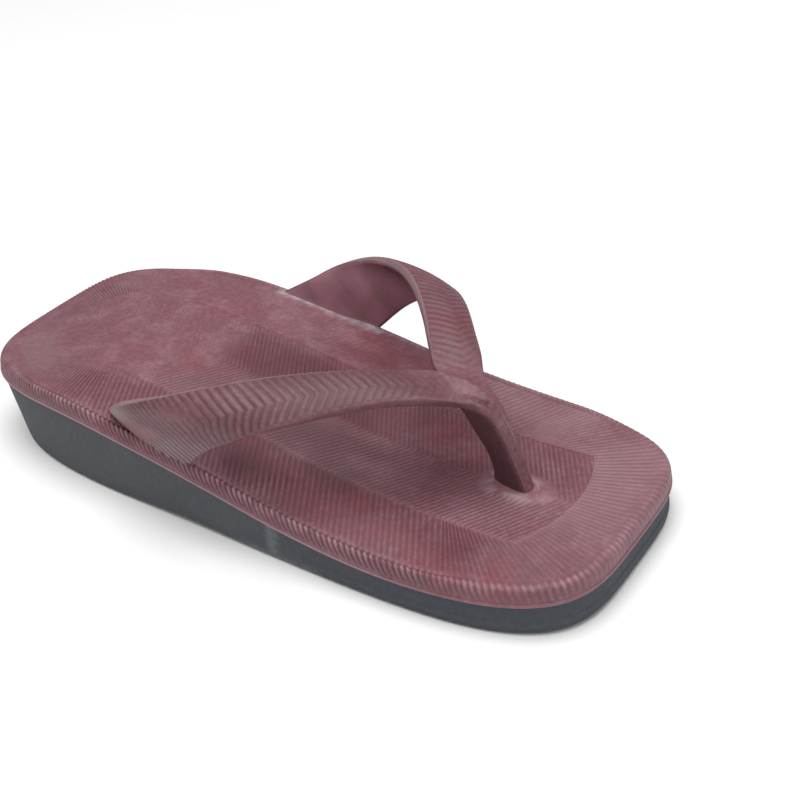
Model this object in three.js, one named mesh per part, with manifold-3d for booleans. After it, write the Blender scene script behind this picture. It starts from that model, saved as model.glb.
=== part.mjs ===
// Setta sandal: a dark foam wedge sole, a moulded deck with a rolled rim,
// and a one-piece V strap whose two arms join in a toe post.
// Millimetres, +Z up, +X toward the toe, origin on the floor under the middle of the sole.

import * as THREE from "three";
import { mergeVertices } from "three/addons/utils/BufferGeometryUtils.js";
import Module from "manifold-3d";

const wasm = await Module();
wasm.setup();

// Plan outline
const soleLength = 265;
const heelWidth = 108.4;
const waistWidth = 107.8;
const ballWidth = 109.4;
const heelSquareness = 4.1;
const toeSquareness = 4.1;
const heelSlant = 0.089;
const toeSlant = 0.045;

// Wedge sole
const wedgeHeight = 27.8;
const soleInset = 0.8;
const heelUndercut = 6;
const toeSpring = 1.6;
const archRise = 1.2;
const edgeRound = 1.6;
const bandDepth = 0.7;

// Where the sole's forms start and end, as shares of soleLength
const archBack = -0.2;
const archMiddle = -0.05;
const archFront = 0.1;
const springStart = 0.36;
const bandStart = -0.02;
const bandFull = 0.16;

// Height of the step between the band and the upper wall, as a share of the wall
const bandShare = 0.42;

// Tread under the sole
const treadPitch = 5.4;
const grooveWidth = 2.2;
const grooveDepth = 1.3;

// Deck
const rimHeight = 7.2;
const rimReach = 9.5;
const seam = 0.3;
const bossHeight = 0.8;
const bossLength = 27;
const bossWidth = 15;
const bossSeat = 3;

// V strap
const vReach = 108;
const vSpan = 106;
const vRise = 36;
const strapBehind = 47.7;
const strapThickness = 3.2;
const strapCrown = 1.6;
const rootDepth = 3;

// Toe post
const postX = 89.2;
const postLength = 12;
const postThickness = 7.2;
const postHeight = 36.4;
const postLean = 20;

// Fineness of the facets
const outlineSides = 96;
const strapSteps = 22;
const postSides = 20;
const innerShares = [0.5, 0];
const innerDraw = 0.3;
const edgeReach = 0.25;

// Room that a cutting block takes beyond what it cuts
const cutAside = 40;
const cutBelow = 20;

// Widest height of the sole's wall along the sandal
// columns: station as a share of soleLength, height as a share of wedgeHeight
const wedgeRows = [
  [-0.5, 0.94],
  [-0.375, 0.985],
  [-0.25, 0.985],
  [-0.125, 0.855],
  [0, 0.67],
  [0.125, 0.475],
  [0.25, 0.37],
  [0.375, 0.375],
  [0.5, 0.43],
];

// Rolled rim, from its lip over the crest to the field
// columns: way in as a share of rimReach, height as a share of rimHeight
const rimRows = [
  [0.02, 0],
  [0, 0.1],
  [0.05, 0.17],
  [0.005, 0.36],
  [0.03, 0.56],
  [0.12, 0.78],
  [0.26, 0.93],
  [0.44, 1],
  [0.62, 0.985],
  [0.78, 0.9],
  [1, 0.905],
];

// One arm of the V strap, from its root on the deck to the post
// columns: rear edge x, y, z and front edge x, y, z, as shares of vReach, half of vSpan
// and vRise; x counts from the root's rear corner, z counts from the deck at the toe post
const strapRows = [
  [0, 0.907, 0.444, 0.39, 0.998, 0.26],
  [0.095, 1.04, 0.66, 0.502, 1.045, 0.55],
  [0.2, 1.1, 0.845, 0.605, 1.058, 0.745],
  [0.32, 1.09, 1, 0.676, 1.04, 0.872],
  [0.438, 1.02, 1.12, 0.736, 0.985, 0.955],
  [0.552, 0.895, 1.2, 0.796, 0.9, 1.01],
  [0.656, 0.738, 1.236, 0.861, 0.775, 1.05],
  [0.752, 0.56, 1.228, 0.931, 0.623, 1.073],
  [0.842, 0.372, 1.186, 1.004, 0.458, 1.068],
  [0.927, 0.181, 1.113, 1.077, 0.298, 1.028],
  [1.001, 0.017, 1.03, 1.138, 0.172, 0.962],
  [1.05, -0.06, 0.95, 1.18, 0.02, 0.87],
];

// Across one arm of the strap, round its section
// columns: place across from rear to front, depth in as a share of strapThickness
const armSection = [
  [0, 0.5],
  [0.015, 0.82],
  [0.06, 1],
  [0.35, 1],
  [0.65, 1],
  [0.94, 1],
  [0.985, 0.82],
  [1, 0.5],
  [0.988, 0.2],
  [0.955, 0.03],
  [0.8, 0],
  [0.6, 0],
  [0.4, 0],
  [0.2, 0],
  [0.045, 0.03],
  [0.012, 0.2],
];

// Toe post, from its foot to the crotch of the V
// columns: height as a share of postHeight, centre back from postX as a share of postLean,
// length as a share of postLength, thickness as a share of postThickness
const postRows = [
  [-0.1, 0, 1.04, 1],
  [0, 0.005, 1, 1],
  [0.22, 0.1, 0.86, 0.95],
  [0.42, 0.235, 0.83, 0.95],
  [0.6, 0.41, 0.83, 1],
  [0.76, 0.64, 0.92, 1.3],
  [0.88, 0.83, 1.05, 1.75],
  [0.96, 0.93, 1.02, 1.9],
  [1, 1, 0.6, 1.2],
];

function smoothstep(from, to, value) {
  return THREE.MathUtils.smoothstep(value, from, to);
}

// A smooth curve through one column of a table, read at a place on its first column
function read(rows, column, at) {
  let k = 0;
  while (k < rows.length - 2 && at > rows[k + 1][0]) {
    k += 1;
  }
  const a = rows[k];
  const b = rows[k + 1];
  const before = rows[Math.max(k - 1, 0)];
  const after = rows[Math.min(k + 2, rows.length - 1)];
  const step = b[0] - a[0];
  const slopeA = (b[column] - before[column]) / (b[0] - before[0]);
  const slopeB = (after[column] - a[column]) / (after[0] - a[0]);
  const u = THREE.MathUtils.clamp((at - a[0]) / step, 0, 1);
  const u2 = u * u;
  const u3 = u2 * u;
  return (
    a[column] * (2 * u3 - 3 * u2 + 1) +
    b[column] * (3 * u2 - 2 * u3) +
    slopeA * step * (u3 - 2 * u2 + u) +
    slopeB * step * (u3 - u2)
  );
}

// A closed solid from rings of points that all have the same count: each ring joins the next,
// and the end rings are closed by a point at their middle, unless they are lines already
function solidFromRings(rings, closeEnds = true) {
  const sides = rings[0].length;
  const points = [];
  const faces = [];
  for (const ring of rings) {
    points.push(...ring);
  }
  for (let r = 0; r < rings.length - 1; r += 1) {
    for (let s = 0; s < sides; s += 1) {
      const a = r * sides + s;
      const b = r * sides + ((s + 1) % sides);
      faces.push([a, b, b + sides], [a, b + sides, a + sides]);
    }
  }
  for (const end of closeEnds ? [0, rings.length - 1] : []) {
    const middle = new THREE.Vector3();
    rings[end].forEach((p) => middle.addScaledVector(p, 1 / sides));
    points.push(middle);
    for (let s = 0; s < sides; s += 1) {
      const a = end * sides + s;
      const b = end * sides + ((s + 1) % sides);
      faces.push(end === 0 ? [b, a, points.length - 1] : [a, b, points.length - 1]);
    }
  }
  return toSolid(points.flatMap((p) => [p.x, p.y, p.z]), faces.flat());
}

function toSolid(positions, indices) {
  let geometry = new THREE.BufferGeometry();
  geometry.setAttribute("position", new THREE.Float32BufferAttribute(positions, 3));
  geometry.setIndex(indices);
  geometry = mergeVertices(geometry, 1e-4);
  return new wasm.Manifold(
    new wasm.Mesh({
      numProp: 3,
      vertProperties: new Float32Array(geometry.attributes.position.array),
      triVerts: new Uint32Array(geometry.index.array),
    }),
  );
}

// Half width of the lip line at a share from -1 at the heel to 1 at the toe
function halfWidth(t) {
  const place = 0.6;
  const bend = (heelWidth + ballWidth - 2 * waistWidth) / (2 * place * place);
  const lean = (ballWidth - heelWidth) / (2 * place);
  return (waistWidth + lean * t + bend * t * t) / 2;
}

// The lip line at a turn from 0 to 1, round from the toe by the far side to the heel
function lipPoint(turn) {
  const angle = 2 * Math.PI * turn;
  const c = Math.cos(angle);
  const s = Math.sin(angle);
  const power = 2 / (c < 0 ? heelSquareness : toeSquareness);
  const t = Math.sign(c) * Math.abs(c) ** power;
  const y = halfWidth(t) * Math.sign(s) * Math.abs(s) ** power;
  const slant = t < 0 ? heelSlant : toeSlant;
  return new THREE.Vector3((t * soleLength) / 2 - slant * y * t * t, y, 0);
}

// Evenly spaced points on the lip line, each with its inward direction
function lipLine() {
  const fine = new THREE.CatmullRomCurve3([], true);
  for (let k = 0; k < 6 * outlineSides; k += 1) {
    fine.points.push(lipPoint(k / (6 * outlineSides)));
  }
  fine.arcLengthDivisions = 12 * outlineSides;
  const line = [];
  for (let k = 0; k < outlineSides; k += 1) {
    const place = fine.getPointAt(k / outlineSides);
    const along = fine.getTangentAt(k / outlineSides);
    line.push({ place, inward: new THREE.Vector3(-along.y, along.x, 0) });
  }
  return line;
}

const lip = lipLine();

// Height of the lip over the floor at a place along the sandal
function lipHeight(x) {
  return wedgeHeight * read(wedgeRows, 1, x / soleLength);
}

// Height of the underside: flat at heel and ball, arched at the waist, sprung at the toe
function underside(x) {
  const t = x / soleLength;
  const arch = smoothstep(archBack, archMiddle, t) * (1 - smoothstep(archMiddle, archFront, t));
  return archRise * arch + toeSpring * smoothstep(springStart, 0.5, t);
}

// One ring, the lip line moved in by a distance and set at a height that may follow x
function ring(inset, height) {
  return lip.map(({ place, inward }) => {
    const t = place.x / soleLength;
    const p = place.clone().addScaledVector(inward, typeof inset === "function" ? inset(t) : inset);
    p.z = height(p.x);
    return p;
  });
}

// A ring drawn in toward the long middle line of the sandal, for the inner part of a face;
// at a share of 0 its two sides meet on that line
function innerRing(outer, share, height) {
  return outer.map((p, k) => {
    const other = outer[(outer.length - k) % outer.length];
    const middle = (p.x + other.x) / 2;
    const x = THREE.MathUtils.lerp(middle, p.x, share) * (1 - innerDraw * (1 - share));
    return new THREE.Vector3(x, p.y * share, height(x));
  });
}

// A closed solid between an upper and a lower face, with wall rings between them
function layered(rings, lowHeight, highHeight) {
  const low = rings[0];
  const high = rings[rings.length - 1];
  const under = innerShares.map((share) => innerRing(low, share, lowHeight)).reverse();
  const over = innerShares.map((share) => innerRing(high, share, highHeight));
  return solidFromRings([...under, ...rings, ...over], false);
}

// How far the wall of the sole stands in at its foot: more at the heel, which slopes
function undercut(t) {
  return soleInset + heelUndercut * THREE.MathUtils.clamp(-2 * t, 0, 1) ** 4;
}

function makeSole() {
  const wall = (share) =>
    ring(
      (t) => {
        const stepped = share > bandShare ? bandDepth * smoothstep(bandStart, bandFull, t) : 0;
        return undercut(t) * (1 - share) + soleInset * share + stepped;
      },
      (x) => underside(x) + (lipHeight(x) - underside(x)) * share,
    );
  const bottom = ring((t) => undercut(t) + edgeRound, underside);
  const rounded = ring((t) => undercut(t) + 0.3 * edgeRound, (x) => underside(x) + 0.3 * edgeRound);
  const walls = [bandShare / 3, bandShare - 0.02, bandShare + 0.02, 1].map(wall);
  const rings = [bottom, rounded, ...walls];
  const count = Math.floor(soleLength / treadPitch / 2) - 1;
  let grooves = groove(0.5 * treadPitch);
  for (let k = 1; k <= count; k += 1) {
    grooves = grooves.add(groove((k + 0.5) * treadPitch)).add(groove((0.5 - k) * treadPitch));
  }
  return layered(rings, underside, lipHeight).subtract(grooves);
}

// One groove across the tread, a bar with sloping sides
function groove(x) {
  const depth = underside(x) + grooveDepth;
  const shape = new THREE.Shape();
  shape.moveTo(-grooveWidth * 0.6, -1);
  shape.lineTo(grooveWidth * 0.6, -1);
  shape.lineTo(grooveWidth * 0.3, depth);
  shape.lineTo(-grooveWidth * 0.3, depth);
  shape.closePath();
  const bar = new THREE.ExtrudeGeometry(shape, { depth: 2 * ballWidth, bevelEnabled: false });
  bar.rotateX(Math.PI / 2);
  bar.translate(x, ballWidth, 0);
  return fromGeometry(bar);
}

function fromGeometry(geometry) {
  const bare = geometry.clone();
  bare.deleteAttribute("normal");
  bare.deleteAttribute("uv");
  const merged = mergeVertices(bare, 1e-4);
  return toSolid(merged.attributes.position.array, Array.from(merged.index.array));
}

// Height of the deck's field at a place along the sandal
function fieldHeight(x) {
  return lipHeight(x) + rimHeight * rimRows[rimRows.length - 1][1];
}

function makeDeckBody() {
  const rings = [ring(soleInset + 2, (x) => lipHeight(x) + seam)];
  for (const [inShare, upShare] of rimRows) {
    const up = Math.max(rimHeight * upShare, seam);
    rings.push(ring(rimReach * inShare, (x) => lipHeight(x) + up));
  }
  const body = layered(rings, (x) => lipHeight(x) + seam, fieldHeight);
  return body.add(makeBoss());
}

// The low oval boss round the foot of the toe post
function makeBoss() {
  const half = bossLength / 2;
  const shape = new THREE.Shape();
  shape.absellipse(0, 0, half, bossWidth / 2, 0, 2 * Math.PI);
  const form = { depth: bossSeat + bossHeight, bevelEnabled: false, curveSegments: 14 };
  const boss = new THREE.ExtrudeGeometry(shape, form);
  const slope = (fieldHeight(postX + half) - fieldHeight(postX - half)) / bossLength;
  boss.rotateY(-Math.atan(slope));
  boss.translate(postX, 0, fieldHeight(postX) - bossSeat);
  return fromGeometry(boss);
}

// Everything below the deck's field, lowered or raised by a distance
function belowField(raise) {
  const top = (x) => fieldHeight(x) + raise;
  const foot = () => -cutBelow;
  return layered([ring(-cutAside, foot), ring(-cutAside, top)], foot, top);
}

// One point of an arm's edge at a step along it; edge 0 is the rear one and 1 the front one
function edgePoint(step, edge) {
  const rows = strapRows.map((row, k) => [k, ...row]);
  const base = fieldHeight(postX);
  const first = 1 + 3 * edge;
  return new THREE.Vector3(
    vReach * read(rows, first, step) - strapBehind,
    (vSpan / 2) * read(rows, first + 1, step),
    base + vRise * read(rows, first + 2, step),
  );
}

// One ring round an arm: the section laid between its two edges, grown by a clearance
function armRing(step, drop, grow) {
  const rear = edgePoint(step, 0);
  const front = edgePoint(step, 1);
  const ahead = Math.min(step + edgeReach, strapRows.length - 1);
  const behind = Math.max(step - edgeReach, 0);
  const along = edgePoint(ahead, 0).add(edgePoint(ahead, 1));
  along.sub(edgePoint(behind, 0)).sub(edgePoint(behind, 1)).normalize();
  const across = front.clone().sub(rear);
  const width = across.length();
  across.normalize();
  const out = along.cross(across).normalize();
  const middle = rear.clone().add(front).multiplyScalar(0.5);
  return armSection.map(([place, depth]) => {
    const side = place - 0.5;
    const crown = strapCrown * (1 - 4 * side * side);
    const lift = crown - strapThickness * depth + grow * (1 - 2 * depth);
    const p = middle.clone().addScaledVector(across, side * (width + 2 * grow));
    p.addScaledVector(out, lift);
    p.z -= drop;
    return p;
  });
}

function makeArm(grow) {
  const rings = [armRing(0, 2 * rootDepth, grow)];
  for (let k = 0; k <= strapSteps; k += 1) {
    rings.push(armRing((k / strapSteps) * (strapRows.length - 1), 0, grow));
  }
  return solidFromRings(rings);
}

function makePost(grow) {
  const base = fieldHeight(postX);
  const rings = postRows.map(([height, back, length, thickness]) => {
    const round = [];
    for (let s = 0; s < postSides; s += 1) {
      const angle = (2 * Math.PI * s) / postSides;
      const c = Math.cos(angle);
      const d = Math.sin(angle);
      const x = Math.sign(c) * Math.abs(c) ** 0.7 * ((postLength * length) / 2 + grow);
      const y = Math.sign(d) * Math.abs(d) ** 0.7 * ((postThickness * thickness) / 2 + grow);
      round.push(new THREE.Vector3(postX - postLean * back + x, y, base + postHeight * height));
    }
    return round;
  });
  return solidFromRings(rings);
}

// The whole strap before its feet are cut off
function strapForm(grow) {
  const arm = makeArm(grow);
  const other = arm.mirror([0, 1, 0]);
  return arm.add(other).add(makePost(grow));
}

const deckBody = makeDeckBody();
const strap = strapForm(0).subtract(belowField(-rootDepth));
const socket = strapForm(seam).subtract(belowField(-rootDepth - seam));
const deck = deckBody.subtract(socket);

function toMesh(solid, name, colour, roughness) {
  const { vertProperties, triVerts } = solid.getMesh();
  const geometry = new THREE.BufferGeometry();
  geometry.setAttribute("position", new THREE.Float32BufferAttribute(vertProperties, 3));
  geometry.setIndex(Array.from(triVerts));
  geometry.computeVertexNormals();
  const material = new THREE.MeshStandardMaterial({ color: colour, roughness, metalness: 0 });
  const mesh = new THREE.Mesh(geometry, material);
  mesh.name = name;
  return mesh;
}

const sandal = new THREE.Group();
sandal.add(toMesh(makeSole(), "sole", 0x4b5155, 0.85));
sandal.add(toMesh(deck, "deck", 0x8a5560, 0.6));
sandal.add(toMesh(strap, "v_strap", 0x8a5560, 0.55));

export default sandal;
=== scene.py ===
import math

import bpy
import numpy as np
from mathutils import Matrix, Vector


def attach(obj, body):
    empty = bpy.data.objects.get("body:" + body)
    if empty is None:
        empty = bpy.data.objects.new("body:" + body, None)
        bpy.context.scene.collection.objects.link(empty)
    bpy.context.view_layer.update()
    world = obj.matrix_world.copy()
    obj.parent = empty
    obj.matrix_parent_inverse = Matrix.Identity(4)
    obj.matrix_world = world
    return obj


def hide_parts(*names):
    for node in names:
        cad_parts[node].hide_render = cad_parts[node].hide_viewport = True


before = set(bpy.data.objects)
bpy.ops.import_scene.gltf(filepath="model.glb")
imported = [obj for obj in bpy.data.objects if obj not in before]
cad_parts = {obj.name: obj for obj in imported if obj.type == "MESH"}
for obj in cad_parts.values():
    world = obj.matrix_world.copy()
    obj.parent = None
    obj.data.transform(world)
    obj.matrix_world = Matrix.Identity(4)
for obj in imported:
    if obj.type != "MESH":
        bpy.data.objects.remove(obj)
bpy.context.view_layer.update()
scene = bpy.context.scene
mm = 0.001
sharpFrom = 50      # degrees between two faces from which their edge stays sharp


# Helpers for grids, outlines and noise

def smoothStep(low, high, x):
    # 0 up to low, 1 from high on, and a soft slope between them
    t = np.clip((x - low) / (high - low), 0, 1)
    return t * t * (3 - 2 * t)


def unit(a):
    # vectors divided by their own length
    return a / np.maximum(np.linalg.norm(a, axis=-1, keepdims=True), 1e-9)


def readTable(places, values, at):
    # cubic through the table's rows, each slope taken from the two neighbours
    p, v, at = np.asarray(places, float), np.asarray(values, float), np.asarray(at, float)
    k = np.clip(np.searchsorted(p, at, side="right") - 1, 0, len(p) - 2)
    before, after = np.maximum(k - 1, 0), np.minimum(k + 2, len(p) - 1)
    step = p[k + 1] - p[k]
    slopeA = (v[k + 1] - v[before]) / (p[k + 1] - p[before])
    slopeB = (v[after] - v[k]) / (p[after] - p[k])
    u = np.clip((at - p[k]) / step, 0, 1)
    hA, hB = 2 * u**3 - 3 * u**2 + 1, 3 * u**2 - 2 * u**3
    return v[k] * hA + v[k + 1] * hB + step * (slopeA * (u**3 - 2 * u**2 + u) + slopeB * (u**3 - u**2))


def waveNoise(p, size, seed, octaves=3):
    # soft noise: a sum of sine waves in seeded directions, about -1 to 1; size is the longest wave in mm
    rng = np.random.default_rng(seed)
    total, weight = np.zeros(p.shape[:-1]), 0.0
    for octave in range(octaves):
        share = 0.55**octave
        for _ in range(5):
            way = rng.normal(size=3)
            way /= np.linalg.norm(way)
            total += share * np.sin((p @ way) * 2 * np.pi * 2**octave / size + rng.uniform(0, 6.28))
        weight += share * 1.6
    return total / weight


def creaseDepth(p, creases):
    # how far listed creases press in: each is a line in x and y, with a width and a depth, all in mm
    total = np.zeros(p.shape[:-1])
    for x1, y1, x2, y2, width, depth in creases:
        way = np.array([x2 - x1, y2 - y1])
        off = p[..., :2] - (x1, y1)
        share = np.clip((off @ way) / (way @ way), 0, 1)
        gap = np.linalg.norm(off - share[..., None] * way, axis=-1)
        total += depth * np.exp(-((gap / width) ** 2))
    return total


def ovalAway(p, x, y, long, wide):
    # how far a point lies from an oval's centre, 1 on its edge: centre x, y, half length, half width
    return np.hypot((p[..., 0] - x) / long, (p[..., 1] - y) / wide)


def patchShare(p, patches, seed, ragged=0.2, edge=(0.1, 1.3)):
    # soft patches at listed places: centre x, y, half length, half width (mm) and amount, with ragged edges
    noise, total = ragged * waveNoise(p, 26, seed, 4), np.zeros(p.shape[:-1])
    for *oval, amount in patches:
        total = np.maximum(total, amount * (1 - smoothStep(*edge, ovalAway(p, *oval) + noise)))
    return total


def gridFaces(rows, columns, closeRows=False, closeColumns=False):
    # the quads of a grid of points, closed round where asked
    r = np.arange(rows if closeRows else rows - 1)
    c = np.arange(columns if closeColumns else columns - 1)
    i, j = np.meshgrid(r, c, indexing="ij")
    i2, j2 = (i + 1) % rows, (j + 1) % columns
    quads = np.stack([i * columns + j, i * columns + j2, i2 * columns + j2, i2 * columns + j], -1)
    return quads.reshape(-1, 4)


def gridNormals(p, spot, way, closeRows=False, closeColumns=False):
    # the unit normal of a grid of points, from the differences along its two ways;
    # all of them are flipped when those at the spot point against the given way
    def along(a, axis, closed):
        if closed:
            return np.roll(a, -1, axis) - np.roll(a, 1, axis)
        return np.gradient(a, axis=axis)
    n = unit(np.cross(along(p, 1, closeColumns), along(p, 0, closeRows)))
    return -n if np.mean(n[spot] @ np.array(way)) < 0 else n


def makeMesh(name, points, quads, caps=(), values=None):
    # points in mm, quads as an array, caps as lists of corners, values as one number per point
    mesh = bpy.data.meshes.new(name)
    mesh.from_pydata((points * mm).tolist(), [], quads.tolist() + [list(map(int, c)) for c in caps])
    mesh.polygons.foreach_set("use_smooth", np.ones(len(mesh.polygons), bool))
    for key, numbers in (values or {}).items():
        layer = mesh.attributes.new(key, "FLOAT", "POINT")
        layer.data.foreach_set("value", np.ascontiguousarray(numbers, dtype=np.float32).ravel())
    mesh.update()
    mesh.set_sharp_from_angle(angle=math.radians(sharpFrom))
    piece = bpy.data.objects.new(name, mesh)
    scene.collection.objects.link(piece)
    print("made", name, len(mesh.vertices), "points")
    return piece


# The sandal's own forms, shared by its pieces (mm)

sandal = {
    "length": 265.0,
    "heelWidth": 108.4, "waistWidth": 107.8, "ballWidth": 109.4,
    "widthsAt": 0.6,                            # the heel's and the ball's place, as a share of the half length
    "squareness": 4.1, "heelSlant": 0.089, "toeSlant": 0.045,
    # height of the wedge, and its shares along the length
    "wedgeHeight": 27.8,
    "stations": [-0.5, -0.375, -0.25, -0.125, 0, 0.125, 0.25, 0.375, 0.5],
    "heights": [0.94, 0.985, 0.985, 0.855, 0.67, 0.475, 0.37, 0.375, 0.43],
    "rimHeight": 7.2, "fieldShare": 0.905,      # the rim over the lip line, and the field as a share of it
    "outlinePoints": 4000,
}


def lipHeight(x):
    # the line where sole and deck meet
    return sandal["wedgeHeight"] * readTable(sandal["stations"], sandal["heights"], x / sandal["length"])


def fieldHeight(x):
    # the deck's flat field, a little lower than the rim
    return lipHeight(x) + sandal["rimHeight"] * sandal["fieldShare"]


def lipOutline(count, fine=24000):
    # rounded oblong: each quarter is a superellipse whose half width changes along the length,
    # slanted a little at both ends, then spaced evenly by its own length
    turn = np.arange(fine) / fine * 2 * np.pi
    c, s = np.cos(turn), np.sin(turn)
    power = 2 / sandal["squareness"]
    t = np.sign(c) * np.abs(c) ** power
    heel, waist, ball, at = (sandal[key] for key in ("heelWidth", "waistWidth", "ballWidth", "widthsAt"))
    half = (waist + (ball - heel) / (2 * at) * t + (heel + ball - 2 * waist) / (2 * at * at) * t * t) / 2
    y = half * np.sign(s) * np.abs(s) ** power
    x = t * sandal["length"] / 2 - np.where(t < 0, sandal["heelSlant"], sandal["toeSlant"]) * y * t * t
    x, y = np.append(x, x[0]), np.append(y, y[0])
    arc = np.append(0, np.cumsum(np.hypot(np.diff(x), np.diff(y))))
    even = np.arange(count) / count * arc[-1]
    p = np.stack([np.interp(even, arc, x), np.interp(even, arc, y)], -1)
    way = unit(np.roll(p, -1, 0) - np.roll(p, 1, 0))
    return even, p, np.stack([-way[:, 1], way[:, 0]], -1), arc[-1]


outlineArc, outline, inward, outlineLength = lipOutline(sandal["outlinePoints"])


def onOutline(arc, inset):
    # the point a given way along the lip line, set in by a distance
    a = np.mod(arc, outlineLength)
    knots = np.append(outlineArc, outlineLength)
    out = []
    for k in (0, 1):
        place = np.interp(a, knots, np.append(outline[:, k], outline[0, k]))
        turn = np.interp(a, knots, np.append(inward[:, k], inward[0, k]))
        out.append(place + turn * inset)
    return np.stack(out, -1)


# Camera at the photograph's angle: degrees, mm from its target, lens and sensor in mm

view = {"azimuth": 39.4025, "height": 31.1666, "roll": -6.3761, "distance": 457.586,
        "target": (23.200, 23.129, 20.0), "lens": 57.712, "sensor": 36}


def addCamera():
    # the turn round the sandal and the height give the way back to the camera; the roll turns it about that way
    a, e, r = (math.radians(view[k]) for k in ("azimuth", "height", "roll"))
    back = Vector((math.sin(a) * math.cos(e), -math.cos(a) * math.cos(e), math.sin(e)))
    right = (-back).cross(Vector((0, 0, 1))).normalized()
    up = right.cross(-back)
    side = right * math.cos(r) + up * math.sin(r)
    top = up * math.cos(r) - right * math.sin(r)
    data = bpy.data.cameras.new("photoView")
    data.lens, data.sensor_width = view["lens"], view["sensor"]
    data.clip_start, data.clip_end = 0.01, 20
    camera = bpy.data.objects.new("photoView", data)
    place = (Vector(view["target"]) + back * view["distance"]) * mm
    for row in range(3):
        camera.matrix_world[row][:] = (side[row], top[row], back[row], place[row])
    scene.collection.objects.link(camera)
    scene.camera = camera
    print("placed the camera")


addCamera()


# Shader groups

def newGroup(name, inputs, outputs):
    group = bpy.data.node_groups.new(name, "ShaderNodeTree")
    for label, kind, value in inputs:
        socket = group.interface.new_socket(label, in_out="INPUT", socket_type=kind)
        if value is not None:
            socket.default_value = value
    for label, kind in outputs:
        group.interface.new_socket(label, in_out="OUTPUT", socket_type=kind)
    return group, group.nodes.new("NodeGroupInput"), group.nodes.new("NodeGroupOutput")


def addMath(tree, action, a, b=None, c=None):
    # each of a, b and c is a number or a socket
    node = tree.nodes.new("ShaderNodeMath")
    node.operation = action
    for socket, value in zip(node.inputs, (a, b, c)):
        if value is None:
            continue
        if isinstance(value, (int, float)):
            socket.default_value = value
        else:
            tree.links.new(value, socket)
    return node.outputs[0]


def addNoise(tree, place, scale, detail, roughness=0.55):
    node = tree.nodes.new("ShaderNodeTexNoise")
    node.inputs["Scale"].default_value = scale
    node.inputs["Detail"].default_value = detail
    node.inputs["Roughness"].default_value = roughness
    tree.links.new(place, node.inputs["Vector"])
    return node.outputs["Fac"]


def addRamp(tree, value, low, high, lowOut=0.0, highOut=1.0):
    # a soft slope from lowOut at low to highOut at high
    node = tree.nodes.new("ShaderNodeMapRange")
    node.interpolation_type = "SMOOTHSTEP"
    for label, number in (("From Min", low), ("From Max", high), ("To Min", lowOut), ("To Max", highOut)):
        node.inputs[label].default_value = number
    tree.links.new(value, node.inputs["Value"])
    return node.outputs[0]


def addBlend(tree, share, a, b):
    # colour a where the share is 0 and colour b where it is 1
    node = tree.nodes.new("ShaderNodeMix")
    node.data_type = "RGBA"
    for socket, value in ((node.inputs[0], share), (node.inputs[6], a), (node.inputs[7], b)):
        if isinstance(value, tuple):
            socket.default_value = (*value, 1.0)
        else:
            tree.links.new(value, socket)
    return node.outputs[2]


def addScale(tree, vector, factor):
    # a place or a colour times a number that varies
    node = tree.nodes.new("ShaderNodeVectorMath")
    node.operation = "SCALE"
    tree.links.new(vector, node.inputs[0])
    tree.links.new(factor, node.inputs["Scale"])
    return node.outputs[0]


vinylMottle = {
    # each noise: scale, detail, roughness
    "clouds": (1.0, 5, 0.62), "patches": (2.7, 4, 0.6), "specks": (14.0, 3, 0.7), "flecks": (1150, 2, 0.6),
    # where each begins to show and shows in full, and how far the specks darken and brighten the vinyl
    "warmRange": (0.55, 0.8), "hazeRange": (0.44, 0.7), "fleckRange": (0.52, 0.74),
    "speckRange": (0.3, 0.75, 0.8, 1.16), "warmthPull": 0.3,
}


def makeMottle():
    # clouds of two tones over a base, with fine specks, as in moulded vinyl with poured pigment
    m = vinylMottle
    group, inside, outside = newGroup(
        "vinylMottle",
        [("Place", "NodeSocketVector", None), ("Base", "NodeSocketColor", (0.25, 0.09, 0.12, 1)),
         ("Warm", "NodeSocketColor", (0.3, 0.07, 0.1, 1)), ("Haze", "NodeSocketColor", (0.3, 0.17, 0.2, 1)),
         ("Cloud Size", "NodeSocketFloat", 60.0), ("Haze Share", "NodeSocketFloat", 0.5),
         ("Warmth", "NodeSocketFloat", 0.0), ("Fleck", "NodeSocketFloat", 0.3)],
        [("Colour", "NodeSocketColor"), ("Haze", "NodeSocketFloat")])
    place = inside.outputs["Place"]
    sized = addScale(group, place, inside.outputs["Cloud Size"])
    clouds, patches, specks = (addNoise(group, sized, *m[key]) for key in ("clouds", "patches", "specks"))
    flecks = addRamp(group, addNoise(group, place, *m["flecks"]), *m["fleckRange"])
    warmer = addMath(group, "MULTIPLY_ADD", inside.outputs["Warmth"], m["warmthPull"], clouds)
    warm = addRamp(group, warmer, *m["warmRange"])
    haze = addMath(group, "MULTIPLY", addRamp(group, patches, *m["hazeRange"]), inside.outputs["Haze Share"])
    colour = addBlend(group, warm, inside.outputs["Base"], inside.outputs["Warm"])
    colour = addBlend(group, haze, colour, inside.outputs["Haze"])
    light = addRamp(group, specks, *m["speckRange"])
    light = addMath(group, "MULTIPLY_ADD", flecks, inside.outputs["Fleck"], light)
    group.links.new(addScale(group, colour, light), outside.inputs["Colour"])
    group.links.new(haze, outside.inputs["Haze"])
    return group


mouldGrain = {"fine": (1500, 2, 0.6), "broad": (330, 2, 0.5)}       # scale, detail, roughness


def makeGrain():
    # the height of a fine pebbled grain with shallow dents
    group, inside, outside = newGroup(
        "mouldGrain",
        [("Place", "NodeSocketVector", None), ("Dents", "NodeSocketFloat", 0.3)],
        [("Height", "NodeSocketFloat")])
    fine, broad = (addNoise(group, inside.outputs["Place"], *mouldGrain[key]) for key in ("fine", "broad"))
    dents = addMath(group, "MULTIPLY", broad, inside.outputs["Dents"])
    group.links.new(addMath(group, "ADD", fine, dents), outside.inputs["Height"])
    return group


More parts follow.
